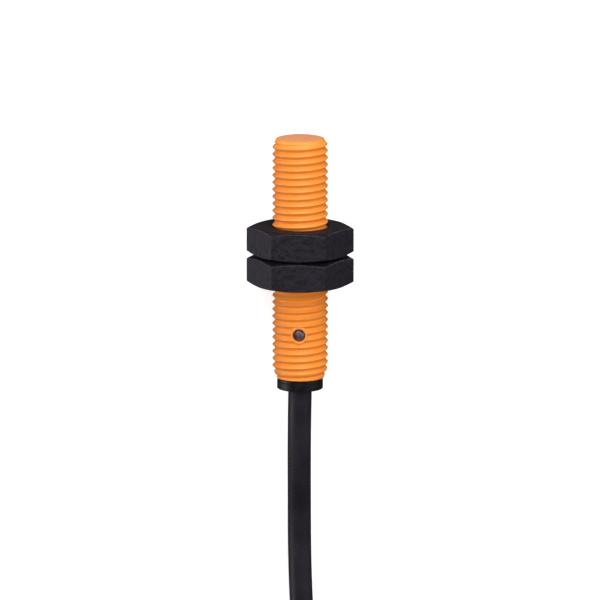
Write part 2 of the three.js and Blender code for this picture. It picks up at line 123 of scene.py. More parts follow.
class IndicatorSettings(bpy.types.PropertyGroup):
    """Sizes and colours of the indicator window and the ring round it."""

    pad_radius: size("Ring Radius", 1.2 * MM, "Radius of the smooth ring without thread")
    pad_drop: size("Ring Drop", 0.06 * MM, "Ring's height below the crests")
    rim_flare: size("Rim Flare", 0.13 * MM, "Width of the bevel round the hole")
    dome: size("Dome", 0.34 * MM, "Crown of the window's outer face")
    glass_colour: colour("Glass Colour", (0.130, 0.078, 0.092), "Tint of the indicator window")


class NutSettings(bpy.types.PropertyGroup):
    """Sizes and colours of the two lock nuts."""

    across_flats: size("Across Flats", nut_high.z - nut_low.z, "Width from flat to flat")
    corner_drop: size("Corner Drop", 0.4 * MM, "How far the chamfer has come down at a corner")
    chamfer_tilt: FloatProperty(name="Chamfer Tilt", default=math.radians(16), subtype="ANGLE",
                                description="Slope of the chamfer on both faces")
    thread_clearance: size("Thread Clearance", 0.05 * MM, "Gap between the two threads")
    mouth: size("Mouth Chamfer", 0.2 * MM, "Chamfer at both ends of the bore")
    edge_sharpness: FloatProperty(name="Edge Sharpness", default=280.0, min=4.0,
                                  description="Higher is a crisper edge between two flats")
    columns: IntProperty(name="Columns", default=300, min=36, description="Faces round the nut")
    plastic_colour: colour("Nut Colour", (0.0098, 0.0084, 0.0128), "Colour of the nuts")


class GlandSettings(bpy.types.PropertyGroup):
    """Sizes and colours of the gland at the cable end."""

    flange_radius: size("Flange Radius", (gland_high.x - gland_low.x) / 2, "Radius of the flange")
    step_radius: size("Step Radius", 3.18 * MM, "Radius of the step against the barrel")
    step_length: size("Step Length", 0.5 * MM, "Thickness of that step")
    collar_radius: size("Collar Radius", 2.1 * MM, "Radius of the collar round the cable")
    collar_length: size("Collar Length", 0.2 * MM, "How far the collar stands out")
    flat_at: size("Flat At", 3.18 * MM, "From the axis to the flat on the flange's side")
    rubber_colour: colour("Gland Colour", (0.0070, 0.0050, 0.0064), "Colour of the gland")


class CableSettings(bpy.types.PropertyGroup):
    """Sizes and colours of the cable, its tie and its free end."""

    diameter: size("Cable Diameter", 3.3 * MM, "Outer diameter of the sheath")
    length: size("Cable Length", 2.0, "Length of the whole lead, its bare cores included")
    core_diameter: size("Core Diameter", 1.0 * MM, "Outer diameter of each core")
    sheath_colour: colour("Sheath Colour", (0.0125, 0.0106, 0.0152), "Colour of the sheath")
    brown: colour("Brown Core", (0.105, 0.040, 0.014), "Colour of the supply core")
    blue: colour("Blue Core", (0.012, 0.070, 0.330), "Colour of the return core")
    black: colour("Black Core", (0.011, 0.011, 0.012), "Colour of the output core")


class HankSettings(bpy.types.PropertyGroup):
    """How the stored length of cable is folded, in lanes side by side and layers on top."""

    front_y: size("Front", -75 * MM, "Where the straight runs begin")
    run: size("Run", 65 * MM, "Length of the runs between the folds")
    fold_radius: size("Fold Radius", 9.9 * MM, "Radius of the innermost fold")
    waist: size("Waist", 1.8 * MM, "Half the spacing of the two innermost runs under the tie")
    lane_pitch: size("Lane Pitch", 3.55 * MM, "Spacing of turns side by side")
    layers: IntProperty(name="Layers", default=5, min=1, description="Layers of turns")
    layer_pitch: size("Layer Pitch", 3.35 * MM, "Spacing of layers")
    bulge: size("Bulge", 1.2 * MM, "How far a climbing fold swings clear of its neighbours")
    lift: size("Lift", 0.75 * MM, "How far the tie under the hank lifts its waist")
    jacket_end: share("Jacket End", 0.45, "Place of the sheath's end between tie and fold")


class StageSettings(bpy.types.PropertyGroup):
    """Camera, lights and floor."""

    distance: size("Camera Distance", 0.9, "From the camera to the point it looks at")
    view_width: size("View Width", 83.75 * MM, "Width of what the camera sees at that point")
    look_back: size("Look At", 22.99 * MM, "Point looked at, measured back from the sensing face")
    look_across: size("Look Across", -0.02 * MM, "Point looked at, measured to the right")
    tilt: FloatProperty(name="Tilt", default=math.radians(11.8), subtype="ANGLE",
                        description="Camera's lean towards the sensing face")
    turn: FloatProperty(name="Turn", default=math.radians(2.6), subtype="ANGLE",
                        description="Camera's lean to the right")
    floor_colour: colour("Floor Colour", (0.88, 0.88, 0.88), "Colour of the floor")
    top_light: FloatProperty(name="Top Light", default=5.7, min=0.0, description="Watts of the top light")
    left_light: FloatProperty(name="Left Light", default=2.6, min=0.0, description="Watts from the left")
    right_light: FloatProperty(name="Right Light", default=2.4, min=0.0, description="Watts from the right")
    face_light: FloatProperty(name="Face Light", default=3.0, min=0.0,
                              description="Watts towards the sensing face")
    sheen_light: FloatProperty(name="Sheen Light", default=8.0, min=0.0,
                               description="Watts low from the left, for the reflections only")
    surroundings: FloatProperty(name="Surroundings", default=0.2, min=0.0,
                                description="Light that the surroundings throw on the sensor")
    floor_bounce: share("Floor Bounce", 0.15, "Share of light that the floor throws back at the sensor")
    floor_glow: share("Floor Glow", 0.5, "Brightness added to the floor under the sensor")


SETTINGS = {
    "sensor_barrel": BarrelSettings,
    "sensor_indicator": IndicatorSettings,
    "sensor_nuts": NutSettings,
    "sensor_gland": GlandSettings,
    "sensor_cable": CableSettings,
    "sensor_hank": HankSettings,
    "sensor_stage": StageSettings,
}


# ------------------------------------------------------------------ node helpers


class Maker:
    """Adds nodes to a node tree and joins them up."""

    def __init__(self, tree):
        self.tree = tree

    def feed(self, socket, value):
        if isinstance(value, bpy.types.NodeSocket):
            self.tree.links.new(value, socket)
        else:
            socket.default_value = value

    def add(self, kind, feeds=None, **settings):
        node = self.tree.nodes.new(kind)
        for name, value in settings.items():
            setattr(node, name, value)
        for name, value in (feeds or {}).items():
            self.feed(node.inputs[name], value)
        return node

    def math(self, operation, *values, clamp=False):
        node = self.add("ShaderNodeMath", operation=operation, use_clamp=clamp)
        for socket, value in zip(node.inputs, values):
            self.feed(socket, value)
        return node.outputs[0]

    def plus(self, a, b):
        return self.math("ADD", a, b)

    def minus(self, a, b):
        return self.math("SUBTRACT", a, b)

    def times(self, a, b):
        return self.math("MULTIPLY", a, b)

    def over(self, a, b, clamp=False):
        return self.math("DIVIDE", a, b, clamp=clamp)

    def spread(self, value, low, high, to_low=0.0, to_high=1.0, smooth=False):
        """Maps value from low..high to to_low..to_high and holds it there."""
        node = self.add("ShaderNodeMapRange", {
            "Value": value, "From Min": low, "From Max": high, "To Min": to_low, "To Max": to_high})
        node.interpolation_type = "SMOOTHSTEP" if smooth else "LINEAR"
        return node.outputs["Result"]

    def mix(self, factor, a, b):
        """a where factor is 0 and b where it is 1, for numbers."""
        node = self.add("ShaderNodeMix", {"Factor": factor, "A": a, "B": b}, data_type="FLOAT")
        return node.outputs["Result"]

    def tint(self, factor, a, b):
        """a where factor is 0 and b where it is 1, for colours."""
        node = self.add("ShaderNodeMix", data_type="RGBA")
        self.feed(node.inputs[0], factor)
        self.feed(node.inputs[6], a)
        self.feed(node.inputs[7], b)
        return node.outputs[2]


def new_tree(name, kind, inputs, outputs):
    """A node group with named inputs, given as {name: (socket type, default)}, and its maker."""
    tree = bpy.data.node_groups.new(name, kind)
    for label, (socket_type, default) in inputs.items():
        socket = tree.interface.new_socket(label, in_out="INPUT", socket_type=socket_type)
        if default is not None:
            socket.default_value = default
    for label, socket_type in outputs.items():
        tree.interface.new_socket(label, in_out="OUTPUT", socket_type=socket_type)
    maker = Maker(tree)
    source = maker.add("NodeGroupInput").outputs
    sink = maker.add("NodeGroupOutput").inputs
    return tree, maker, source, sink


def grown(name, tree, values, base=None):
    """The plain mesh that a geometry tree makes with these input values."""
    holder = bpy.data.objects.new(name, base or bpy.data.meshes.new(name))
    bpy.context.scene.collection.objects.link(holder)
    modifier = holder.modifiers.new(name, "NODES")
    modifier.node_group = tree
    sockets = {item.name: item.identifier for item in tree.interface.items_tree
               if item.in_out == "INPUT"}
    for label, value in values.items():
        modifier[sockets[label]] = value
    mesh = evaluated_mesh(holder)
    bpy.data.objects.remove(holder)
    return mesh


def evaluated_mesh(thing):
    bpy.context.view_layer.update()
    graph = bpy.context.evaluated_depsgraph_get()
    return bpy.data.meshes.new_from_object(thing.evaluated_get(graph))


# ------------------------------------------------------------------ mesh helpers


def mesh_from(name, points, faces):
    mesh = bpy.data.meshes.new(name)
    mesh.from_pydata(points, [], faces)
    mesh.validate()
    return mesh


def smooth_least(a, b, width):
    """The smaller of two values, eased over the given width as the Smooth Minimum node does."""
    near = max(width - abs(a - b), 0.0) / width
    return min(a, b) - near ** 3 * width / 6


def eased(t):
    """From 0 to 1 with a level start and end."""
    return t * t * (3 - 2 * t)


def on_axis(radius, angle, back):
    """A point round the sensor's axis: angle 0 is up and a quarter turn is +X."""
    return (radius * math.sin(angle), FACE_Y - back, AXIS_HEIGHT + radius * math.cos(angle))


def rounded(corners, steps=5):
    """Points of a profile whose corners, given as (radius, back, rounding), are rounded off."""
    points = []
    for i, (radius, back, rounding) in enumerate(corners):
        here = Vector((radius, back))
        if rounding == 0 or i in (0, len(corners) - 1):
            points.append(tuple(here))
            continue
        before = (Vector(corners[i - 1][:2]) - here).normalized()
        after = (Vector(corners[i + 1][:2]) - here).normalized()
        for step in range(steps + 1):
            t = step / steps
            points.append(tuple(here + rounding * ((1 - t) ** 2 * before + t ** 2 * after)))
    return points


def skin(name, rings, closed=False, capped=False):
    """A mesh over rings of points. closed joins the last ring to the first, capped fills both ends."""
    count = len(rings[0])
    points = [point for ring in rings for point in ring]
    faces = []
    for i in range(len(rings) if closed else len(rings) - 1):
        one, two = i * count, (i + 1) % len(rings) * count
        for k in range(count):
            n = (k + 1) % count
            faces.append((one + k, one + n, two + n, two + k))
    if capped:
        faces += [tuple(range(count)), tuple(range(len(points) - count, len(points)))]
    return mesh_from(name, points, faces)


def turned(name, profile, sides=96, closed=False):
    """A solid turned about the sensor's axis from (radius, back) points."""
    angles = [FULL_TURN * k / sides for k in range(sides)]
    return outward(skin(name, [[on_axis(radius, angle, back) for angle in angles]
                               for radius, back in profile], closed))


def upright(name, profile, sides=48):
    """A solid turned about the indicator's axis from (radius, height) points."""
    centre_y = FACE_Y - INDICATOR_BACK
    angles = [FULL_TURN * k / sides for k in range(sides)]
    return outward(skin(name, [[(radius * math.sin(angle), centre_y + radius * math.cos(angle), height)
                                for angle in angles] for radius, height in profile]))


def outward(mesh):
    work = bmesh.new()
    work.from_mesh(mesh)
    bmesh.ops.remove_doubles(work, verts=work.verts, dist=1e-7)
    bmesh.ops.recalc_face_normals(work, faces=work.faces)
    work.to_mesh(mesh)
    work.free()
    return mesh


def joined(*meshes):
    """The first mesh, with the others added to it."""
    work = bmesh.new()
    for mesh in meshes:
        work.from_mesh(mesh)
    work.to_mesh(meshes[0])
    work.free()
    return meshes[0]


def soften(mesh, crease=math.radians(35)):
    """Smooth shading, broken at edges sharper than the crease."""
    mesh.shade_smooth()
    mesh.set_sharp_from_angle(angle=crease)
    return mesh


def cut(mesh, *cutters):
    """The mesh with the cutters' solids taken out of it."""
    body = bpy.data.objects.new("cut_body", mesh)
    bpy.context.scene.collection.objects.link(body)
    tools = []
    for cutter in cutters:
        tool = bpy.data.objects.new("cut_tool", cutter)
        bpy.context.scene.collection.objects.link(tool)
        modifier = body.modifiers.new("cut", "BOOLEAN")
        modifier.operation = "DIFFERENCE"
        modifier.solver = "MANIFOLD"
        modifier.object = tool
        tools.append(tool)
    result = evaluated_mesh(body)
    for thing in [body, *tools]:
        bpy.data.objects.remove(thing)
    return result


def piece(name, mesh, material, body=BARREL_BODY, stands_for=None):
    """Puts a finished mesh in the scene as one piece that rides on a body."""
    mesh.name = name
    mesh.materials.clear()
    mesh.materials.append(material)
    thing = bpy.data.objects.new(name, mesh)
    bpy.context.scene.collection.objects.link(thing)
    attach(thing, body)
    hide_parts(stands_for or name)
    return thing


# ------------------------------------------------------------------ shared shader groups


def group_once(name, build):
    return bpy.data.node_groups.get(name) or build(name)


def build_grain(name):
    """Fine moulding grain: a height for bump and a mottle for colour."""
    tree, make, source, sink = new_tree(name, "ShaderNodeTree", {
        "Coordinates": ("NodeSocketVector", None),
        "Grain Size": ("NodeSocketFloat", 0.0002),
        "Mottle Size": ("NodeSocketFloat", 0.003),
        "Waviness": ("NodeSocketFloat", 0.0),
    }, {"Height": "NodeSocketFloat", "Mottle": "NodeSocketFloat"})
    fine = make.add("ShaderNodeTexNoise", {
        "Vector": source["Coordinates"], "Detail": 3.0, "Roughness": 0.6,
        "Scale": make.math("DIVIDE", 1.0, source["Grain Size"])})
    coarse = make.add("ShaderNodeTexNoise", {
        "Vector": source["Coordinates"], "Detail": 2.0, "Roughness": 0.5,
        "Scale": make.math("DIVIDE", 1.0, source["Mottle Size"])})
    wave = make.math("MULTIPLY", coarse.outputs["Fac"], source["Waviness"])
    make.feed(sink["Height"], make.math("ADD", fine.outputs["Fac"], wave))
    make.feed(sink["Mottle"], make.spread(coarse.outputs["Fac"], 0.3, 0.7, smooth=True))
    return tree


def build_painted_highlight(name):
    """A mask for painted highlights on high places: the height attribute broken up by noise."""
    tree, make, source, sink = new_tree(name, "ShaderNodeTree", {
        "Coordinates": ("NodeSocketVector", None),
        "Height": ("NodeSocketFloat", 0.0),
        "From": ("NodeSocketFloat", 0.7),
        "Patch Size": ("NodeSocketFloat", 0.002),
    }, {"Mask": "NodeSocketFloat"})
    noise = make.add("ShaderNodeTexNoise", {
        "Vector": source["Coordinates"], "Detail": 4.0,
        "Scale": make.math("DIVIDE", 1.0, source["Patch Size"])})
    patchy = make.spread(noise.outputs["Fac"], 0.35, 0.65)
    high = make.spread(source["Height"], source["From"], 1.0, smooth=True)
    make.feed(sink["Mask"], make.math("MULTIPLY", high, make.spread(patchy, 0.0, 1.0, 0.2, 1.0)))
    return tree


# ------------------------------------------------------------------ materials


class Finish:
    """A new material with its shader, its maker and the piece's own coordinates."""

    def __init__(self, name, **constants):
        self.material = bpy.data.materials.new(name)
        self.material.use_nodes = True
        self.make = Maker(self.material.node_tree)
        self.shader = self.material.node_tree.nodes["Principled BSDF"]
        for label, value in constants.items():
            self.shader.inputs[label.replace("_", " ")].default_value = value
        self.place = self.make.add("ShaderNodeTexCoord").outputs["Object"]

    def group(self, name, build, **values):
        node = self.make.add("ShaderNodeGroup", node_tree=group_once(name, build))
        self.make.feed(node.inputs["Coordinates"], self.place)
        for label, value in values.items():
            self.make.feed(node.inputs[label.replace("_", " ")], value)
        return node.outputs

    def attribute(self, name):
        return self.make.add("ShaderNodeAttribute", attribute_name=name).outputs["Fac"]

    def set(self, label, value):
        self.make.feed(self.shader.inputs[label], value)

    def bump(self, height, distance, strength):
        node = self.make.add("ShaderNodeBump", {
            "Height": height, "Distance": distance, "Strength": strength})
        self.make.feed(self.shader.inputs["Normal"], node.outputs["Normal"])

    def grained(self, grain_size, mottle_size, colours, rough, depth, strength=0.5, waviness=0.0):
        """Colour and roughness mottled between two values each, over a grain that is depth high."""
        grain = self.group("Moulded Grain", build_grain, Grain_Size=grain_size, Mottle_Size=mottle_size,
                           Waviness=waviness)
        body = self.make.tint(grain["Mottle"], *colours)
        self.set("Base Color", body)
        self.set("Roughness", self.make.spread(grain["Mottle"], 0.0, 1.0, *rough))
        self.bump(grain["Height"], depth, strength)
        return body, grain["Mottle"]


def rgba(three, gain=1.0):
    return (*(min(1.0, channel * gain) for channel in three), 1.0)


def shades(three, first, second):
    """One colour at two brightnesses."""
    return rgba(three, first), rgba(three, second)


def orange_plastic(settings):
    finish = Finish("orange_plastic", IOR=1.46)
    make = finish.make
    grain = finish.group("Moulded Grain", build_grain, Grain_Size=0.12 * MM, Mottle_Size=2.2 * MM)
    crest = finish.attribute("crest")
    # Painted light and shade: from the lighter root colour down in the thread to the darker crest colour on
    # top.
    body = make.tint(crest, rgba(settings.root_colour), rgba(settings.crest_colour))
    body = make.tint(make.times(grain["Mottle"], 0.22), body, rgba(settings.root_colour, 0.93))
    # Painted highlight: a paler crest colour on the highest parts of the crests, broken up by noise.
    painted_highlight = finish.group("Rubbed", build_painted_highlight, Height=crest, From=0.8, Patch_Size=1.6 * MM)["Mask"]
    body = make.tint(make.times(painted_highlight, 0.5), body, rgba(settings.crest_colour, 1.15))
    finish.set("Base Color", body)
    finish.set("Roughness", make.spread(painted_highlight, 0.0, 1.0, 0.46, 0.36))
    finish.bump(grain["Height"], 0.008 * MM, 0.5)
    return finish.material


def window_plastic(settings):
    finish = Finish("window_plastic", IOR=1.46)
    finish.grained(0.1 * MM, 1.6 * MM, shades(settings.window_colour, 1, 0.92), (0.42, 0.55), 0.006 * MM)
    return finish.material


def black_plastic(name, three, grain_size, depth, rough, specular, waviness=0.0):
    """Dark moulded plastic whose edges, marked by the edge attribute, get a paler painted highlight."""
    finish = Finish(name, IOR=1.45, Specular_IOR_Level=specular)
    body, _ = finish.grained(grain_size, 0.7 * MM, shades(three, 0.6, 1.4), (rough, rough + 0.12), depth,
                             0.6, waviness)
    # Painted highlight: a paler colour along the edges that the edge attribute marks.
    painted_highlight = finish.group("Rubbed", build_painted_highlight, Height=finish.attribute("edge"), From=0.35,
                          Patch_Size=0.6 * MM)["Mask"]
    finish.set("Base Color", finish.make.tint(painted_highlight, body, rgba(PAINTED_EDGE_HIGHLIGHT)))
    return finish.material


def sheath_rubber(settings):
    finish = Finish("cable_sheath", IOR=1.45, Specular_IOR_Level=0.09)
    finish.grained(0.16 * MM, 4 * MM, shades(settings.sheath_colour, 1, 1.5), (0.5, 0.62), 0.006 * MM)
    return finish.material


def insulation(cable, core):
    """The frame's own material for a core, or a mottled one where the frame has none."""
    name = f"core_{core}"
    if name in bpy.data.materials:
        return bpy.data.materials[name]
    finish = Finish(name, IOR=1.45)
    finish.grained(0.1 * MM, 2 * MM, shades(getattr(cable, core), 1, 1.25), (0.32, 0.45), 0.004 * MM, 0.4)
    return finish.material


def tinned_metal():
    finish = Finish("ferrule_metal", Metallic=1.0)
    finish.grained(0.08 * MM, 0.8 * MM, (rgba(TIN), rgba(DULL_TIN)), (0.22, 0.4), 0.006 * MM, 0.6)
    return finish.material


def tinted_glass(settings):
    """Dark clear plastic: nearly black, polished, a little smoky."""
    finish = Finish("indicator_lens", IOR=1.45, Coat_Roughness=0.22)
    _, mottle = finish.grained(0.3 * MM, 0.4 * MM, shades(settings.glass_colour, 1, 0.06), (0.2, 0.32),
                               0.02 * MM, 0.35)
    finish.set("Coat Weight", finish.make.spread(mottle, 0.0, 1.0, 0.35, 0.1))
    return finish.material


def inner_finish(name, three, rough):
    """A plain but mottled finish, for the tie and for inner pieces that the frame has none for."""
    finish = Finish(name)
    finish.grained(0.15 * MM, 1.2 * MM, shades(three, 1, 0.75), (rough, rough + 0.12), 0.005 * MM)
    return finish.material


# ------------------------------------------------------------------ threaded barrel


THREAD_SIZES = ("Crest Radius", "Thread Depth", "Pitch", "Root Share", "Crest Share", "Rounding",
                "Root Sink", "Thread Start", "Lead In", "Rear Taper", "Taper Drop", "Face Edge")


def build_threaded_barrel():
    """Geometry tree of the barrel's outer skin: a cylinder whose radius follows the thread."""
    number, whole = "NodeSocketFloat", "NodeSocketInt"
    tree, make, source, sink = new_tree("Threaded Barrel", "GeometryNodeTree", {
        "Columns": (whole, None), "Rows": (whole, None),
        **{label: (number, None) for label in THREAD_SIZES},
        "Length": (number, None), "Ring Back": (number, None), "Ring Radius": (number, None),
        "Ring Drop": (number, None), "Material": ("NodeSocketMaterial", None),
    }, {"Geometry": "NodeSocketGeometry"})
    crowding = 0.45  # how much closer the columns stand on top
    ring_fade = (0.12 * MM, -0.06 * MM)  # from the ring's edge, where it has gone and where it is whole
    grid = make.add("GeometryNodeMeshGrid", {
        "Size X": 1.0, "Size Y": 1.0, "Vertices X": source["Columns"], "Vertices Y": source["Rows"]})
    place = make.add("ShaderNodeSeparateXYZ", {"Vector": make.add("GeometryNodeInputPosition").outputs[0]})

    # Round the axis, with the columns closer together on top, where the indicator is.
    full = make.times(place.outputs["X"], FULL_TURN)
    angle = make.minus(full, make.times(make.math("SINE", full), crowding))

    # Along the axis. The first and last rows draw in to the middle and close the ends.
    last = make.minus(source["Rows"], 1.0)
    row = make.times(make.plus(place.outputs["Y"], 0.5), last)
    along = make.over(make.minus(row, 1.0), make.minus(last, 2.0), clamp=True)
    back = make.times(along, source["Length"])
    is_open = make.times(make.math("GREATER_THAN", row, 0.5),
                        make.math("LESS_THAN", row, make.minus(last, 0.5)))

    # Height of the thread: 1 on the crests and 0 in the roots.
    turn = make.over(angle, FULL_TURN)
    phase = make.math("FRACT", make.plus(make.over(back, source["Pitch"]), turn))
    slope = make.math("ABSOLUTE", make.minus(make.times(phase, 2.0), 1.0))
    flank = make.over(make.minus(slope, source["Root Share"]),
                      make.minus(source["Crest Share"], source["Root Share"]))
    height = make.math("SMOOTH_MAX", flank, 0.0, source["Rounding"])
    height = make.math("SMOOTH_MIN", height, 1.0, source["Rounding"])

    # Limits at the two ends, and the plain core under the thread.
    root = make.minus(source["Crest Radius"], source["Thread Depth"])
    taper_start = make.minus(source["Length"], source["Rear Taper"])
    fall = make.over(make.minus(back, taper_start), source["Rear Taper"])
    sunk = make.times(make.spread(fall, 0.0, 1.0, smooth=True), source["Root Sink"])
    foot = make.minus(root, sunk)
    thread = make.plus(foot, make.times(height, source["Thread Depth"]))
    rise = make.over(make.minus(back, source["Thread Start"]), source["Lead In"])
    front = make.plus(root, make.times(rise, source["Thread Depth"]))
    rear = make.minus(source["Crest Radius"], make.times(fall, source["Taper Drop"]))
    thread = make.math("MINIMUM", make.math("MINIMUM", thread, front), rear)
    corner = make.math("MAXIMUM", make.minus(source["Face Edge"], back), 0.0)
    bite = make.minus(make.math("POWER", source["Face Edge"], 2.0), make.math("POWER", corner, 2.0))
    rim = make.minus(make.math("SQRT", make.math("MAXIMUM", bite, 0.0)), source["Face Edge"])
    core = make.math("MINIMUM", make.plus(foot, rim), rear)
    radius = make.math("MAXIMUM", core, thread)

    # Smooth ring round the indicator, faded into the thread.
    across = make.times(make.math("SINE", angle), source["Crest Radius"])
    offset = make.minus(back, source["Ring Back"])
    reach = make.math("SQRT", make.plus(make.math("POWER", across, 2.0),
                                        make.math("POWER", make.math("ABSOLUTE", offset), 2.0)))
    edges = [make.plus(source["Ring Radius"], past) for past in ring_fade]
    fade = make.spread(reach, *edges, smooth=True)
    ring = make.times(fade, make.math("GREATER_THAN", make.math("COSINE", angle), 0.0))
    ring_top = make.minus(source["Crest Radius"], source["Ring Drop"])
    radius = make.mix(ring, radius, ring_top)

    # The crest attribute steers the painted shade and painted highlight of the orange material.
    crest = make.over(make.minus(radius, root), source["Thread Depth"], clamp=True)
    drawn = make.times(radius, is_open)
    point = make.add("ShaderNodeCombineXYZ", {
        "X": make.times(drawn, make.math("SINE", angle)),
        "Y": make.times(back, -1.0),
        "Z": make.times(drawn, make.math("COSINE", angle))})
    marked = make.add("GeometryNodeStoreNamedAttribute", {
        "Geometry": grid.outputs["Mesh"], "Name": "crest", "Value": crest},
        data_type="FLOAT", domain="POINT")
    shaped = make.add("GeometryNodeSetPosition", {
        "Geometry": marked.outputs["Geometry"], "Position": point.outputs["Vector"]})
    closed = make.add("GeometryNodeMergeByDistance", {
        "Geometry": shaped.outputs["Geometry"], "Distance": 0.001 * MM})
    flipped = make.add("GeometryNodeFlipFaces", {"Mesh": closed.outputs["Geometry"]})
    real = make.add("GeometryNodeRealizeInstances", {"Geometry": flipped.outputs["Mesh"]})
    painted = make.add("GeometryNodeSetMaterial", {
        "Geometry": real.outputs["Geometry"], "Material": source["Material"]})
    make.feed(sink["Geometry"], painted.outputs["Geometry"])
    return tree


class SENSOR_OT_barrel(bpy.types.Operator):
    """Build the threaded barrel and the window in its front end"""

    bl_idname = "sensor.barrel"
    bl_label = "Barrel"

    def execute(self, context):
        barrel, ring = context.scene.sensor_barrel, context.scene.sensor_indicator
        material = orange_plastic(barrel)
        sizes = {label: getattr(barrel, label.lower().replace(" ", "_")) for label in THREAD_SIZES}
        mesh = grown("housing", build_threaded_barrel(), {
            **sizes, "Columns": barrel.columns, "Rows": barrel.rows, "Length": BODY_LENGTH,
            "Ring Back": INDICATOR_BACK, "Ring Radius": ring.pad_radius, "Ring Drop": ring.pad_drop,
            "Material": material})
        mesh.transform(Matrix.Translation((0, FACE_Y, AXIS_HEIGHT)))
        mesh = cut(mesh, self.bore(barrel), self.indicator_hole(barrel, ring))
        piece("housing_shell", soften(mesh), material, stands_for="housing")
        self.window(barrel)
        return {"FINISHED"}

    def bore(self, barrel):
        """The window's seat, with a chamfer in front and a ledge behind it, and the bore past that."""
        seat = (window_high.x - window_low.x) / 2 + 0.02 * MM
        depth = window_high.y - window_low.y + FIT
        ledge = 0.3 * MM
        chamfer = 0.18 * MM
        past = 0.1 * MM  # beyond the barrel's ends
        inner = barrel.crest_radius - barrel.thread_depth - barrel.wall
        return turned("bore", [
            (0, -past), (seat + chamfer, -past), (seat, FIT), (seat, depth), (seat - ledge, depth),
            (seat - ledge, depth + ledge), (inner, depth + ledge), (inner, BODY_LENGTH + past),
            (0, BODY_LENGTH + past)])

    def indicator_hole(self, barrel, ring):
        """An upright round tool whose top flares out to bevel the hole's rim."""
        hole = (indicator_high.x - indicator_low.x) / 2 + 0.04 * MM
        top = AXIS_HEIGHT + barrel.crest_radius - ring.pad_drop
        bottom = AXIS_HEIGHT + 1.5 * MM
        flare = ring.rim_flare
        return upright("indicator_hole", [
            (0, bottom), (hole, bottom), (hole, top - flare), (hole + 0.35 * flare, top - 0.45 * flare),
            (hole + flare, top), (hole + 2.2 * flare, top + flare), (0, top + flare)])

    def window(self, barrel):
        radius = (window_high.x - window_low.x) / 2
        thick = window_high.y - window_low.y
        mesh = turned("front_window", rounded([
            (0, 0, 0), (radius, 0, 0.06 * MM), (radius, thick, 0.05 * MM), (0, thick, 0)]))
        piece("front_disc", soften(mesh), window_plastic(barrel), stands_for="front_window")


class SENSOR_OT_indicator(bpy.types.Operator):
    """Build the domed indicator window"""

    bl_idname = "sensor.indicator"
    bl_label = "Indicator"

    def execute(self, context):
        ring = context.scene.sensor_indicator
        radius = (indicator_high.x - indicator_low.x) / 2
        top = indicator_high.z
        step_down = 0.03 * MM  # from the dome's rim to the straight side
        profile = [(0, indicator_low.z), (radius, indicator_low.z), (radius, top - ring.dome - step_down)]
        for step in range(11):
            across = 1 - (step / 10) ** 1.5
            profile.append((radius * across, top - ring.dome * across ** 4))
        piece("indicator_pin", soften(upright("indicator", profile)), tinted_glass(ring),
              stands_for="indicator_window")
        return {"FINISHED"}


# ------------------------------------------------------------------ lock nuts


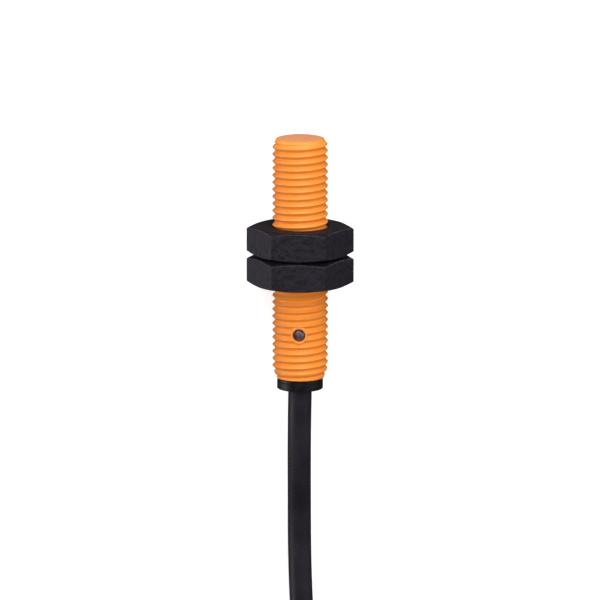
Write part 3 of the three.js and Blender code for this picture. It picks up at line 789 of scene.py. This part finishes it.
class SENSOR_OT_nuts(bpy.types.Operator):
    """Build the two hexagon lock nuts with their threaded bores"""

    bl_idname = "sensor.nuts"
    bl_label = "Lock Nuts"

    def execute(self, context):
        nuts = context.scene.sensor_nuts
        material = black_plastic("nut_plastic", nuts.plastic_colour, grain_size=0.25 * MM, depth=0.18 * MM,
                                 rough=0.5, specular=0.18, waviness=2.5)
        for node, body in NUT_BODIES.items():
            low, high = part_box(node)
            mesh = self.nut(context.scene, FACE_Y - high.y, high.y - low.y)
            piece(f"{node}_moulding", soften(mesh), material, body, stands_for=node)
        return {"FINISHED"}

    def nut(self, scene, front, thickness):
        """A closed grid: columns run round the axis and rows round the nut's section."""
        nuts, barrel = scene.sensor_nuts, scene.sensor_barrel
        corner = nuts.across_flats / math.sqrt(3)
        rings, edges = [], []
        for radius, depth, threaded, mark in self.section(nuts, barrel, corner, thickness):
            ring = []
            for column in range(nuts.columns):
                angle = FULL_TURN * column / nuts.columns
                angle += 0.7 * math.sin(6 * angle) / 6  # closer columns at the six corners
                out, edge = self.outline(nuts, corner, radius, angle)
                if threaded:
                    out = self.thread(barrel, nuts, radius, front + depth, angle)
                ring.append(on_axis(out, angle + math.pi / 2, front + depth))
                edges.append(max(mark, edge))
            rings.append(ring)
        mesh = skin("nut", rings, closed=True)
        # The edge attribute marks where the nut's material paints a paler highlight.
        mesh.attributes.new("edge", "FLOAT", "POINT").data.foreach_set("value", edges)
        return outward(mesh)

    def section(self, nuts, barrel, corner, thickness):
        """Rows of (radius, distance behind the nut's front face, in the thread, edge mark for the painted
        highlight).
        """
        slope = math.tan(nuts.chamfer_tilt)
        flat = corner - nuts.corner_drop / slope
        crest = barrel.crest_radius + nuts.thread_clearance
        mouth = barrel.crest_radius + nuts.mouth
        lip = mouth - crest
        # Strength of the painted highlight on the lips round the bore.
        lip_mark = 0.5
        chamfer = corner + 0.05 * MM - flat  # ends a little past the corners
        face = [(mouth + (flat - mouth) * step / 8, 0.0) for step in range(9)]
        face += [(flat + chamfer * step / 16, chamfer * slope * step / 16) for step in range(1, 17)]
        rim, drop = face[-1]
        side = [(rim, drop + (thickness - 2 * drop) * step / 12) for step in range(1, 12)]
        outside = [*face, *side, *((radius, thickness - depth) for radius, depth in reversed(face))]
        lips = [(mouth - lip * step / 3, lip * step / 3) for step in range(3)]
        bore = [thickness - lip - (thickness - 2 * lip) * step / 70 for step in range(71)]
        return [*((radius, depth, False, 0.0) for radius, depth in outside),
                *((radius, thickness - depth, True, lip_mark) for radius, depth in lips),
                *((crest, depth, True, 0.0) for depth in bore),
                *((radius, depth, True, lip_mark) for radius, depth in reversed(lips[1:]))]

    def outline(self, nuts, corner, radius, angle):
        """Radius where the round section meets the hexagon, and how near an edge that is, which marks the
        painted edge highlight.
        """
        apothem = corner * math.cos(math.pi / 6)
        power = nuts.edge_sharpness
        meeting_power = 160  # higher is a crisper edge between a flat and the chamfer
        sixth = (angle + math.pi / 6) % (math.pi / 3) - math.pi / 6
        near = math.cos(math.pi / 6 - abs(sixth))
        far = math.cos(math.pi / 6 + abs(sixth))
        hexagon = apothem * (near ** power + far ** power) ** (-1 / power)
        if radius < 0.8 * hexagon:
            return radius, 0.0
        both = hexagon * (1 + (hexagon / radius) ** meeting_power) ** (-1 / meeting_power)
        corner_mark = max(0.0, 0.45 - abs(sixth) / math.radians(2.4)) if radius > hexagon else 0.0
        meeting = max(0.0, 1 - abs(radius - hexagon) / (0.14 * MM))
        return both, max(corner_mark, meeting)

    def thread(self, barrel, nuts, limit, back, angle):
        """Radius of the inner thread, which leaves a constant gap to the barrel's thread."""
        phase = (back / barrel.pitch + (angle + math.pi / 2) / FULL_TURN) % 1
        rise = (abs(2 * phase - 1) - barrel.root_share) / (barrel.crest_share - barrel.root_share)
        height = smooth_least(-smooth_least(-rise, 0.0, barrel.rounding), 1.0, barrel.rounding)
        root = barrel.crest_radius - barrel.thread_depth
        inner = root + height * barrel.thread_depth + nuts.thread_clearance
        return max(inner, limit) if limit > barrel.crest_radius + nuts.thread_clearance + 1e-7 else inner


# ------------------------------------------------------------------ gland


class SENSOR_OT_gland(bpy.types.Operator):
    """Build the gland that closes the barrel and holds the cable"""

    bl_idname = "sensor.gland"
    bl_label = "Gland"

    def execute(self, context):
        barrel, gland = context.scene.sensor_barrel, context.scene.sensor_gland
        end = FACE_Y - SENSOR_END_Y
        flange_back = end - gland.collar_length
        flange_front = BODY_LENGTH + 0.02 * MM
        step_back = flange_front + gland.step_length
        spigot = barrel.crest_radius - barrel.thread_depth - barrel.wall - FIT
        core_hole = 0.6 * MM
        hole = context.scene.sensor_cable.diameter / 2 + 0.03 * MM
        edge = 0.1 * MM
        profile = rounded([
            (core_hole, FACE_Y - gland_high.y, 0), (spigot, FACE_Y - gland_high.y, edge),
            (spigot, flange_front, 0), (gland.step_radius, flange_front, edge),
            (gland.step_radius, step_back, 0.04 * MM), (gland.flange_radius, step_back, edge),
            (gland.flange_radius, flange_back, 0.12 * MM), (gland.collar_radius, flange_back, 0.05 * MM),
            (gland.collar_radius, end, 0.08 * MM), (hole, end, 0.05 * MM), (hole, step_back, 0),
            (core_hole, step_back, 0)])
        mesh = turned("gland", profile, closed=True)
        for vertex in mesh.vertices:
            vertex.co.x = min(vertex.co.x, gland.flat_at)
        material = black_plastic("gland_plastic", gland.rubber_colour, grain_size=0.3 * MM,
                                 depth=0.04 * MM, rough=0.42, specular=0.1)
        piece("gland_moulding", soften(mesh), material, stands_for="rear_gland")
        return {"FINISHED"}


# ------------------------------------------------------------------ cable


LEAD_POINTS = (  # in millimetres, as in the part's source
    (-0.07, -21, 6.5), (-0.13, -25, 6.2), (-0.2, -30, 4.9), (-0.28, -36, 2.8), (-0.3, -41, 1.85),
    (-0.2, -46, 1.7), (0, -50.8, 1.7),
)
JOIN_RADIUS = 15.23 * MM  # of the bend that meets the hank
TIE_FINISH = ("tie_plastic", (0.012, 0.012, 0.013), 0.38)  # name, colour, roughness
CORE_PLACES = {"brown": 210, "blue": 330, "black": 90}  # degrees round the cable's middle


def lane_half_width(hank, lane, share_out):
    """Half the width of a lane's turn, from the waist (0) to the folds (1)."""
    return hank.waist + lane * hank.lane_pitch + (hank.fold_radius - hank.waist) * eased(share_out)


def hank_levels(cable, hank):
    """Height of each layer's middle."""
    low = cable.diameter / 2 + FIT
    return [low + layer * hank.layer_pitch for layer in range(hank.layers)]


def waist_lift(hank, along):
    """How far the tie lifts the runs at a place from -1 to 1 along them."""
    level, slope = 0.1, 0.38  # shares of half a run that are lifted in full and that lead down
    return hank.lift * (1 - eased(min(1.0, max(0.0, (abs(along) - level) / slope))))


def run_points(hank, lane, height, side, start, stop, steps=14):
    """One straight run between the folds, drawn in at the waist; side is 1 or -1."""
    middle = hank.front_y - hank.run / 2
    points = []
    for step in range(steps + 1):
        along = start + (stop - start) * step / steps
        points.append(Vector((side * lane_half_width(hank, lane, abs(along)),
                              middle + along * hank.run / 2, height + waist_lift(hank, along))))
    return points


def fold_points(centre_y, way, start, stop, low, high, bulge, steps=14):
    """A half turn from one side to the other. way is 1 at the near end and -1 at the far end."""
    points = []
    for step in range(1, steps):
        t = step / steps
        radius = start + (stop - start) * t + bulge * math.sin(math.pi * t) ** 2
        angle = math.pi * t
        x = radius * math.cos(angle) * -way
        points.append(Vector((x, centre_y + way * radius * math.sin(angle), low + (high - low) * eased(t))))
    return points


def hank_points(cable, hank):
    """The folded cable: from the outer lane of the bottom layer to the sheath's end on top."""
    levels = hank_levels(cable, hank)
    near, far = hank.front_y, hank.front_y - hank.run
    points = []
    for layer, height in enumerate(levels):
        lanes = (1, 0) if layer % 2 == 0 else (0, 1)
        for place, lane in enumerate(lanes):
            radius = hank.fold_radius + lane * hank.lane_pitch
            if layer == len(levels) - 1 and place == 1:
                return points + run_points(hank, lane, height, 1, 1, -hank.jacket_end)
            points += run_points(hank, lane, height, 1, 1, -1)
            points += fold_points(far, -1, radius, radius, height, height, 0)
            points += run_points(hank, lane, height, -1, -1, 1)
            if place == 0:
                after = hank.fold_radius + lanes[1] * hank.lane_pitch
                points += fold_points(near, 1, radius, after, height, height, 0)
            else:
                swing = -hank.bulge if lane == 0 else hank.bulge
                points += fold_points(near, 1, radius, radius, height, levels[layer + 1], swing)
    return points


def join_arc(hank, cable):
    """From the lead's last straight point out to the hank's first run: two arcs that meet."""
    height = hank_levels(cable, hank)[0]
    start = Vector(LEAD_POINTS[-1]) * MM
    lane = hank.fold_radius + hank.lane_pitch
    first = 4 * cable.diameter
    second_x = lane - JOIN_RADIUS
    gap = first + JOIN_RADIUS
    across = first - second_x
    meet = math.acos(across / gap)
    points = []
    for step in range(1, 7):
        bend = meet * step / 6
        points.append(Vector((first - first * math.cos(bend), start.y - first * math.sin(bend), height)))
    centre_y = start.y - gap * math.sin(meet)
    for step in range(1, 6):
        bend = meet * (1 - step / 6)
        points.append(Vector((second_x + JOIN_RADIUS * math.cos(bend),
                              centre_y + JOIN_RADIUS * math.sin(bend), height)))
    return points


def smoothed(points, spacing):
    """A Catmull-Rom line through the points, as points about the spacing apart."""
    line = []
    padded = [2 * points[0] - points[1], *points, 2 * points[-1] - points[-2]]
    for a, b, c, d in zip(padded, padded[1:], padded[2:], padded[3:]):
        steps = max(1, round((c - b).length / spacing))
        for step in range(steps):
            t = step / steps
            line.append(0.5 * (2 * b + (c - a) * t + (2 * a - 5 * b + 4 * c - d) * t ** 2
                               + (3 * b - a - 3 * c + d) * t ** 3))
    return [*line, points[-1]]


def build_swept_cable():
    """Geometry tree that sweeps a round section along a line of points."""
    tree, make, source, sink = new_tree("Swept Cable", "GeometryNodeTree", {
        "Geometry": ("NodeSocketGeometry", None), "Radius": ("NodeSocketFloat", None),
        "Sides": ("NodeSocketInt", None), "Material": ("NodeSocketMaterial", None),
    }, {"Geometry": "NodeSocketGeometry"})
    line = make.add("GeometryNodeMeshToCurve", {"Mesh": source["Geometry"]})
    section = make.add("GeometryNodeCurvePrimitiveCircle", {
        "Resolution": source["Sides"], "Radius": source["Radius"]})
    swept = make.add("GeometryNodeCurveToMesh", {
        "Curve": line.outputs["Curve"], "Profile Curve": section.outputs["Curve"], "Fill Caps": True})
    real = make.add("GeometryNodeRealizeInstances", {"Geometry": swept.outputs["Mesh"]})
    painted = make.add("GeometryNodeSetMaterial", {
        "Geometry": real.outputs["Geometry"], "Material": source["Material"]})
    make.feed(sink["Geometry"], painted.outputs["Geometry"])
    return tree


def swept(name, points, radius, sides, material):
    """A round cable, core or sleeve that follows a line of points."""
    tree = bpy.data.node_groups.get("Swept Cable") or build_swept_cable()
    line = bpy.data.meshes.new(name)
    line.from_pydata(points, [(i, i + 1) for i in range(len(points) - 1)], [])
    mesh = grown(name, tree, {"Radius": radius, "Sides": sides, "Material": material}, base=line)
    return soften(outward(mesh), math.radians(60))


class SENSOR_OT_cable(bpy.types.Operator):
    """Build the cable from the gland to its stripped end"""

    bl_idname = "sensor.cable"
    bl_label = "Cable"

    def execute(self, context):
        cable, hank = context.scene.sensor_cable, context.scene.sensor_hank
        start = Vector((0, SENSOR_END_Y + 0.8 * MM, AXIS_HEIGHT))
        lead = [start, *[Vector(point) * MM for point in LEAD_POINTS], *join_arc(hank, cable)]
        line = smoothed([*lead, *hank_points(cable, hank)], spacing=0.6 * cable.diameter)
        material = sheath_rubber(cable)
        mesh = swept("flying_lead", line, cable.diameter / 2, 18, material)
        lead_piece = piece("flying_lead", mesh, material, stands_for="cable_lead")
        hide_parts("cable_hank")
        tails = self.free_end(cable, hank, line)
        tie = self.tie(cable, hank)
        return {"FINISHED"}

    def free_end(self, cable, hank, line):
        """Three stripped cores and their ferrules, from the sheath's end."""
        tip = line[-1]
        along = (line[-1] - line[-3]).normalized()
        across = Vector((along.y, -along.x, 0))
        spacing = 0.72 * MM
        overlap = 0.5  # millimetres of each core inside its ferrule
        metal = tinned_metal()
        made = []
        for core, degrees in CORE_PLACES.items():
            angle = math.radians(degrees)
            offset = across * spacing * math.cos(angle) + Vector((0, 0, spacing * math.sin(angle)))
            points = [tip - along * 1.5 * MM + offset, tip + along * 1.0 * MM + offset,
                      *self.tail_points(cable, hank, tip.y, round(math.cos(angle)), offset.z)]
            tail_line = smoothed(points, 0.8 * MM)
            material = insulation(cable, core)
            mesh = swept(f"tail_{core}", tail_line, cable.core_diameter / 2, 14, material)
            made.append(piece(f"tail_{core}", mesh, material, stands_for=f"end_core_{core}"))
            end = tail_line[-1]
            outwards = (end - tail_line[-2]).normalized()
            sleeve_line = [end + outwards * (0.25 * step - overlap) * MM for step in range(23)]
            mesh = self.ferrule(f"ferrule_{core}", sleeve_line, metal)
            made.append(piece(f"tinned_{core}", mesh, metal, stands_for=f"ferrule_{core}"))
        return made

    def tail_points(self, cable, hank, tip_y, side, rise):
        """A bare core's way along the lane below; side is -1, 0 or 1, and rise its height at the tip."""
        sunk = (cable.diameter - cable.core_diameter) / 2  # from a run's middle to cores that lie
        steps = ((6, 1.0, 0.55), (12, 1.25, 0.95), (18, 1.35 + 0.15 * side, 1.0))
        points = []
        for distance, spread_out, down in steps:  # millimetres, millimetres, share of the way down
            place = min(1.0, hank.jacket_end + distance * MM / (hank.run / 2))
            inward = side * spread_out + 0.0022 * distance ** 2
            height = hank_levels(cable, hank)[-1] + waist_lift(hank, place)
            points.append(Vector((lane_half_width(hank, 0, place) - inward * MM, tip_y - distance * MM,
                                  height + rise * (1 - down) - sunk * down)))
        return points

    def ferrule(self, name, line, metal):
        """A crimped sleeve: its sides are pressed in at even steps."""
        crimp_step, least, rest = 0.9 * MM, 0.86, 0.14
        mesh = swept(name, line, 0.38 * MM, 16, metal)
        start, along = line[0], (line[-1] - line[0]).normalized()
        for vertex in mesh.vertices:
            distance = (vertex.co - start).dot(along)
            centre = start + along * distance
            press = least + rest * abs(math.sin(math.pi * distance / crimp_step)) ** 0.5
            vertex.co = centre + (vertex.co - centre) * press
        return soften(mesh, math.radians(50))

    def tie(self, cable, hank):
        """A flat band round the waist with its two tails twisted together on top."""
        middle_y = hank.front_y - hank.run / 2
        width, thick = 3.6 * MM, 0.5 * MM
        slack = 0.15 * MM  # between the cable and the band
        half = lane_half_width(hank, 1, 0) + cable.diameter / 2 + slack
        bottom, lowest = 0.05 * MM, 0.02 * MM
        top = hank_levels(cable, hank)[-1] + hank.lift + cable.diameter / 2 + slack
        corner = 2.0 * MM
        loop = []
        for cx, cz, first in ((half - corner, top - corner, 0), (corner - half, top - corner, 90),
                              (corner - half, bottom + corner, 180), (half - corner, bottom + corner, 270)):
            for step in range(7):
                angle = math.radians(first + 15 * step)
                loop.append((cx, cz, math.cos(angle), math.sin(angle)))
        section = [  # across the band, in widths and thicknesses, with a rib along its middle
            (-0.5, 0.0), (-0.5, 0.7), (-0.42, 1.0), (-0.14, 1.0), (-0.07, 1.5), (0.07, 1.5),
            (0.14, 1.0), (0.42, 1.0), (0.5, 0.7), (0.5, 0.0)]
        band = outward(skin("tie_band", [
            [(cx + nx * (corner + thick * high), middle_y + wide * width,
              max(lowest, cz + nz * (corner + thick * high))) for wide, high in section]
            for cx, cz, nx, nz in loop], closed=True))
        tails = [self.tail(middle_y, top + thick, math.pi * strand) for strand in (0, 1)]
        return piece("twist_tie", soften(joined(band, *tails)), inner_finish(*TIE_FINISH),
                     stands_for="hank_tie")

    def tail(self, middle_y, base, start_angle):
        """One of the two flat tails, which are wound round each other and lie along the hank."""
        turns, length, steps = 3.5, 11 * MM, 90
        half_wide, half_thick = 0.65 * MM, 0.2 * MM
        wound, lift, open_from = 0.22, 0.72, 0.85  # millimetres, millimetres, share of the length
        rings = []
        for step in range(steps + 1):
            t = step / steps
            angle = FULL_TURN * turns * t + start_angle
            opening = wound + 0.5 * max(0.0, t - open_from) / (1 - open_from)
            centre = Vector((opening * MM * math.cos(angle), middle_y + (t - 0.4) * length,
                             base + (lift + wound * math.sin(angle)) * MM))
            out_way = Vector((math.cos(angle), 0, math.sin(angle))) * half_thick
            side_way = Vector((-math.sin(angle), 0, math.cos(angle))) * half_wide
            rings.append([centre + side_way * wide + out_way * high
                          for wide, high in ((-1, -1), (1, -1), (1, 1), (-1, 1))])
        return outward(skin("tie_tail", rings, capped=True))


# ------------------------------------------------------------------ inside of the sensor


INNER_FINISHES = {  # node: finish name, colour, roughness
    "optic_holder": ("holder_plastic", (0.012, 0.012, 0.014), 0.6),
    "emitter_lens": ("lens_plastic", (0.70, 0.74, 0.78), 0.08),
    "receiver_lens": ("lens_plastic", (0.70, 0.74, 0.78), 0.08),
    "emitter_diode": ("emitter_plastic", (0.36, 0.02, 0.012), 0.2),
    "receiver_diode": ("receiver_plastic", (0.025, 0.028, 0.045), 0.2),
    "circuit_board": ("board_laminate", (0.014, 0.115, 0.045), 0.4),
    "signal_chip": ("component_black", (0.014, 0.014, 0.015), 0.5),
    "output_transistor": ("component_black", (0.014, 0.014, 0.015), 0.5),
    "supply_capacitor": ("capacitor_ceramic", (0.42, 0.27, 0.12), 0.4),
    "led_resistor": ("component_black", (0.014, 0.014, 0.015), 0.5),
    "indicator_led": ("led_body", (0.80, 0.76, 0.58), 0.35),
    "gland_seal": ("seal_rubber", (0.02, 0.02, 0.022), 0.6),
    "potting_plug": ("potting_resin", (0.045, 0.035, 0.030), 0.3),
}


class SENSOR_OT_inside(bpy.types.Operator):
    """Give the pieces inside the housing their finishes"""

    bl_idname = "sensor.inside"
    bl_label = "Inside"

    def execute(self, context):
        for node, finish in INNER_FINISHES.items():
            # The frame's own material of that name stays where there is one.
            self.paint(node, bpy.data.materials.get(finish[0]) or inner_finish(*finish))
        for core in CORE_PLACES:
            self.paint(f"core_{core}", insulation(context.scene.sensor_cable, core))
        return {"FINISHED"}

    def paint(self, node, material):
        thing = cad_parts[node]
        thing.data.materials.clear()
        thing.data.materials.append(material)


# ------------------------------------------------------------------ stage


LIGHTS = {  # place and width of each, in metres
    "top_light": ((0.04, 0.36, 0.66), 0.9),
    "left_light": ((-0.8, 0.05, 0.2), 0.4),
    "sheen_light": ((-0.8, -0.2, 0.06), 0.4),
    "right_light": ((0.75, 0.0, 0.35), 0.4),
    "face_light": ((0.1, 0.8, 0.3), 0.4),
}


class SENSOR_OT_stage(bpy.types.Operator):
    """Set up the floor, the soft lights and the camera"""

    bl_idname = "sensor.stage"
    bl_label = "Stage"

    def execute(self, context):
        stage = context.scene.sensor_stage
        self.floor(stage)
        self.lights(context.scene, stage)
        self.camera(context.scene, stage)
        context.scene.view_settings.view_transform = "Standard"
        return {"FINISHED"}

    def floor(self, stage):
        mesh = bpy.data.meshes.new("floor")
        work = bmesh.new()
        bmesh.ops.create_circle(work, cap_ends=True, radius=4.0, segments=64)
        work.to_mesh(mesh)
        work.free()
        finish = Finish("floor_paper", Roughness=0.9, Specular_IOR_Level=0.1)
        make = finish.make
        seen = make.add("ShaderNodeLightPath").outputs["Is Camera Ray"]
        bounce = (*[stage.floor_bounce] * 3, 1.0)
        finish.set("Base Color", make.tint(seen, bounce, rgba(stage.floor_colour)))
        away = make.add("ShaderNodeVectorMath", {0: finish.place}, operation="LENGTH").outputs["Value"]
        glow = make.spread(away, 0.2, 1.2, stage.floor_glow, 0.8, smooth=True)
        finish.set("Emission Color", (1.0, 1.0, 1.0, 1.0))
        finish.set("Emission Strength", make.math("MULTIPLY", glow, seen))
        mesh.materials.append(finish.material)
        floor = bpy.data.objects.new("floor", mesh)
        bpy.context.scene.collection.objects.link(floor)

    def lights(self, scene, stage):
        world = bpy.data.worlds.new("surroundings")
        world.use_nodes = True
        make = Maker(world.node_tree)
        seen = make.add("ShaderNodeLightPath").outputs["Is Camera Ray"]
        background = world.node_tree.nodes["Background"]
        background.inputs["Color"].default_value = (1, 1, 1, 1)
        make.feed(background.inputs["Strength"], make.mix(seen, stage.surroundings, 1.0))
        scene.world = world
        aim = Vector((0, -20 * MM, 0))
        for name, (place, width) in LIGHTS.items():
            data = bpy.data.lights.new(name, "AREA")
            data.shape, data.size, data.energy = "DISK", width, getattr(stage, name)
            light = bpy.data.objects.new(name, data)
            light.location = place
            if name == "sheen_light":
                light.visible_diffuse = False
                data.color = (1.0, 0.92, 1.0)
            light.rotation_euler = (aim - Vector(place)).to_track_quat("-Z", "Y").to_euler()
            scene.collection.objects.link(light)

    def camera(self, scene, stage):
        data = bpy.data.cameras.new("camera")
        data.sensor_width = 36
        data.lens = data.sensor_width * stage.distance / stage.view_width
        data.clip_start, data.clip_end = 0.01, 20
        camera = bpy.data.objects.new("camera", data)
        scene.collection.objects.link(camera)
        back = Vector((math.sin(stage.turn), math.sin(stage.tilt), 1.0))
        back.z = math.sqrt(1 - back.x ** 2 - back.y ** 2)
        right = Vector((0, 1, 0)).cross(back).normalized()
        up = back.cross(right)
        target = Vector((stage.look_across, FACE_Y - stage.look_back, AXIS_HEIGHT))
        turn = Matrix((right, up, back)).transposed().to_4x4()
        camera.matrix_world = Matrix.Translation(target + back * stage.distance) @ turn
        scene.camera = camera


# ------------------------------------------------------------------ panel and start


class SENSOR_PT_panel(bpy.types.Panel):
    """Lists the sensor's pieces and their sizes"""

    bl_label = "Photoelectric Sensor"
    bl_idname = "SENSOR_PT_panel"
    bl_space_type = "VIEW_3D"
    bl_region_type = "UI"
    bl_category = "Sensor"

    def draw(self, context):
        for operator in OPERATORS:
            self.layout.operator(operator.bl_idname)
        for name, group in SETTINGS.items():
            box = self.layout.box()
            box.label(text=name.replace("_", " ").title())
            for field in group.__annotations__:
                box.prop(getattr(context.scene, name), field)


OPERATORS = (SENSOR_OT_barrel, SENSOR_OT_indicator, SENSOR_OT_nuts, SENSOR_OT_gland,
             SENSOR_OT_cable, SENSOR_OT_inside, SENSOR_OT_stage)
CLASSES = (*SETTINGS.values(), *OPERATORS, SENSOR_PT_panel)


def register():
    for item in CLASSES:
        bpy.utils.register_class(item)
    for name, group in SETTINGS.items():
        setattr(bpy.types.Scene, name, PointerProperty(type=group))


def unregister():
    for name in SETTINGS:
        delattr(bpy.types.Scene, name)
    for item in reversed(CLASSES):
        bpy.utils.unregister_class(item)


def main():
    register()
    for operator in OPERATORS:
        group, name = operator.bl_idname.split(".")
        getattr(getattr(bpy.ops, group), name)()


if __name__ == "__main__":
    main()
